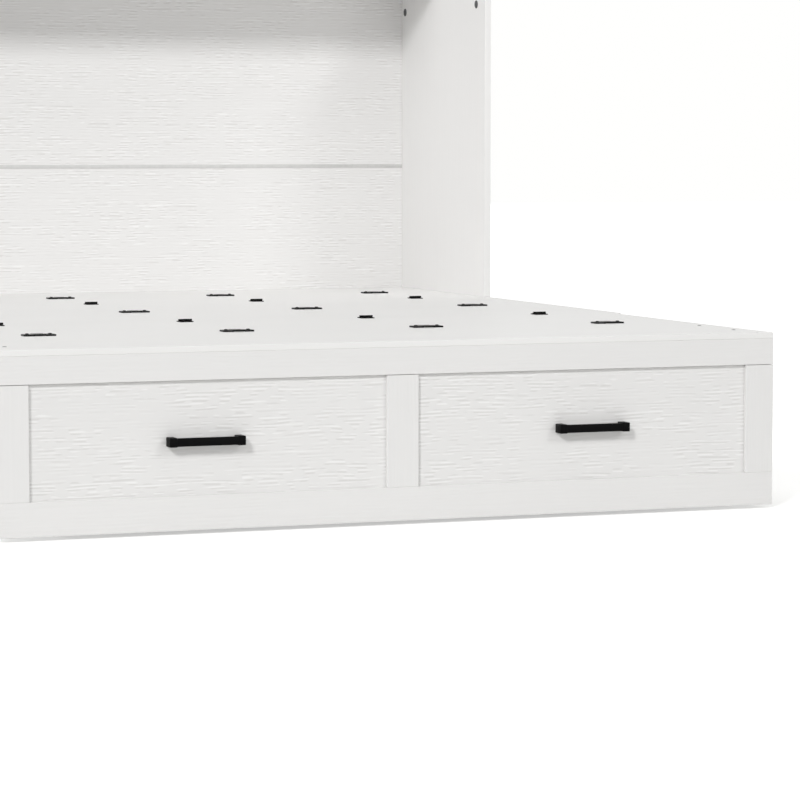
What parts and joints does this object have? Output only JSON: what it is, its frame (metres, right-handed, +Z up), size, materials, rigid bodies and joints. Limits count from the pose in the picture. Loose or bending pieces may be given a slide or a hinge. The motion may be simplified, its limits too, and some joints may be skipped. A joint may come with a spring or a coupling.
{
  "type": "folding cabinet wall bed",
  "caption": "White cabinet wall bed shown open: hinged deck sections fold up against a low cabinet with a turn-back lid, with folding legs and a wheeled drawer under the foot.",
  "frame": {"origin": "on the floor, at the middle of the open bed's footprint, pulls included", "axes": "+X to the right of someone facing the drawer front, +Y to the wall, +Z up"},
  "size_m": [1.642, 2.175, 1.1846],
  "materials": {
    "white_laminate": "white brushed wood-grain laminate, matt",
    "deck_laminate": "smooth white laminate",
    "inner_timber": "white painted timber",
    "drawer_board": "smooth white board",
    "black_metal": "black powder coat, satin",
    "bright_steel": "zinc plated",
    "grey_plastic": "moulded nylon",
    "dark_plastic": "moulded cap"
  },
  "bodies": {
    "cabinet": {"side_panel_left": "white_laminate", "side_panel_right": "white_laminate", "back_board_lower": "white_laminate", "back_board_upper": "white_laminate", "wall_brackets": "bright_steel", "fitting_caps": "dark_plastic", "rear_deck_board": "deck_laminate", "rear_deck_rail": "inner_timber", "deck_cleat_left": "inner_timber", "deck_cleat_right": "inner_timber", "deck_cleat_rear": "inner_timber", "rear_stretcher": "inner_timber", "rear_hinge_leaves": "black_metal", "cabinet_hinge_pins": "bright_steel", "rear_strap_loops": "black_metal", "rear_screws": "black_metal", "fixed_top": "white_laminate", "top_hinge_leaves": "bright_steel"},
    "lid": {"lid_panel": "white_laminate", "lid_hinge_leaves": "bright_steel"},
    "middle_section": {"middle_deck_board": "deck_laminate", "middle_left_rail": "white_laminate", "middle_right_rail": "white_laminate", "middle_front_rail": "white_laminate", "middle_rear_rail": "white_laminate", "middle_centre_rail": "white_laminate", "middle_left_panel": "white_laminate", "middle_right_panel": "white_laminate", "middle_hinge_leaves": "black_metal", "foot_hinge_pins": "bright_steel", "middle_strap_loops": "black_metal", "middle_screws": "black_metal", "leg_pivot_bolts": "black_metal"},
    "foot_section": {"foot_deck_board": "deck_laminate", "foot_apron": "white_laminate", "foot_rear_rail": "inner_timber", "foot_left_rail": "inner_timber", "foot_right_rail": "inner_timber", "foot_centre_rail": "inner_timber", "foot_hinge_leaves": "black_metal", "foot_strap_loops": "black_metal", "foot_screws": "black_metal"},
    "left_leg": {"leg_left": "black_metal"},
    "right_leg": {"leg_right": "black_metal"},
    "drawer": {"drawer_front": "white_laminate", "front_bottom_rail": "white_laminate", "front_stile_left": "white_laminate", "front_stile_middle": "white_laminate", "front_stile_right": "white_laminate", "pull_left": "black_metal", "pull_right": "black_metal", "pull_screws": "bright_steel", "drawer_side_left": "drawer_board", "drawer_side_right": "drawer_board", "drawer_back": "drawer_board", "drawer_bottom": "drawer_board", "caster_forks": "bright_steel", "caster_axles": "bright_steel"},
    "front_wheel_pair": {"front_wheels": "grey_plastic"},
    "rear_wheel_pair": {"rear_wheels": "grey_plastic"}
  },
  "joints": [
    {"name": "middle_fold", "type": "hinge", "parent": "cabinet", "child": "middle_section", "pos_m": [0, 0.4865, 0.362], "axis": [-1, 0, 0], "range_deg": [0, 90]},
    {"name": "foot_fold", "type": "hinge", "parent": "middle_section", "child": "foot_section", "pos_m": [0, -0.2915, 0.362], "axis": [-1, 0, 0], "range_deg": [0, 180]},
    {"name": "lid_hinge", "type": "hinge", "parent": "cabinet", "child": "lid", "pos_m": [0, 0.7875, 1.1663], "axis": [1, 0, 0], "range_deg": [0, 180]},
    {"name": "left_leg_fold", "type": "hinge", "parent": "middle_section", "child": "left_leg", "pos_m": [-0.8112, -0.2605, 0.329], "axis": [1, 0, 0], "range_deg": [0, 90]},
    {"name": "right_leg_fold", "type": "hinge", "parent": "middle_section", "child": "right_leg", "pos_m": [0.8112, -0.2605, 0.329], "axis": [1, 0, 0], "range_deg": [0, 90]},
    {"name": "drawer_roll", "type": "slide", "parent": "cabinet", "child": "drawer", "axis": [0, 1, 0], "range_m": [-0.45, 1.486]},
    {"name": "front_wheel_spin", "type": "hinge", "parent": "drawer", "child": "front_wheel_pair", "pos_m": [0, -0.9485, 0.02], "axis": [-1, 0, 0], "range_deg": [-1350, 4300]},
    {"name": "rear_wheel_spin", "type": "hinge", "parent": "drawer", "child": "rear_wheel_pair", "pos_m": [0, -0.6285, 0.02], "axis": [-1, 0, 0], "range_deg": [-1350, 4300]}
  ],
  "couplings": [
    {"joint": "front_wheel_spin", "follows": "drawer_roll", "rad_per_m": 50},
    {"joint": "rear_wheel_spin", "follows": "drawer_roll", "rad_per_m": 50}
  ]
}
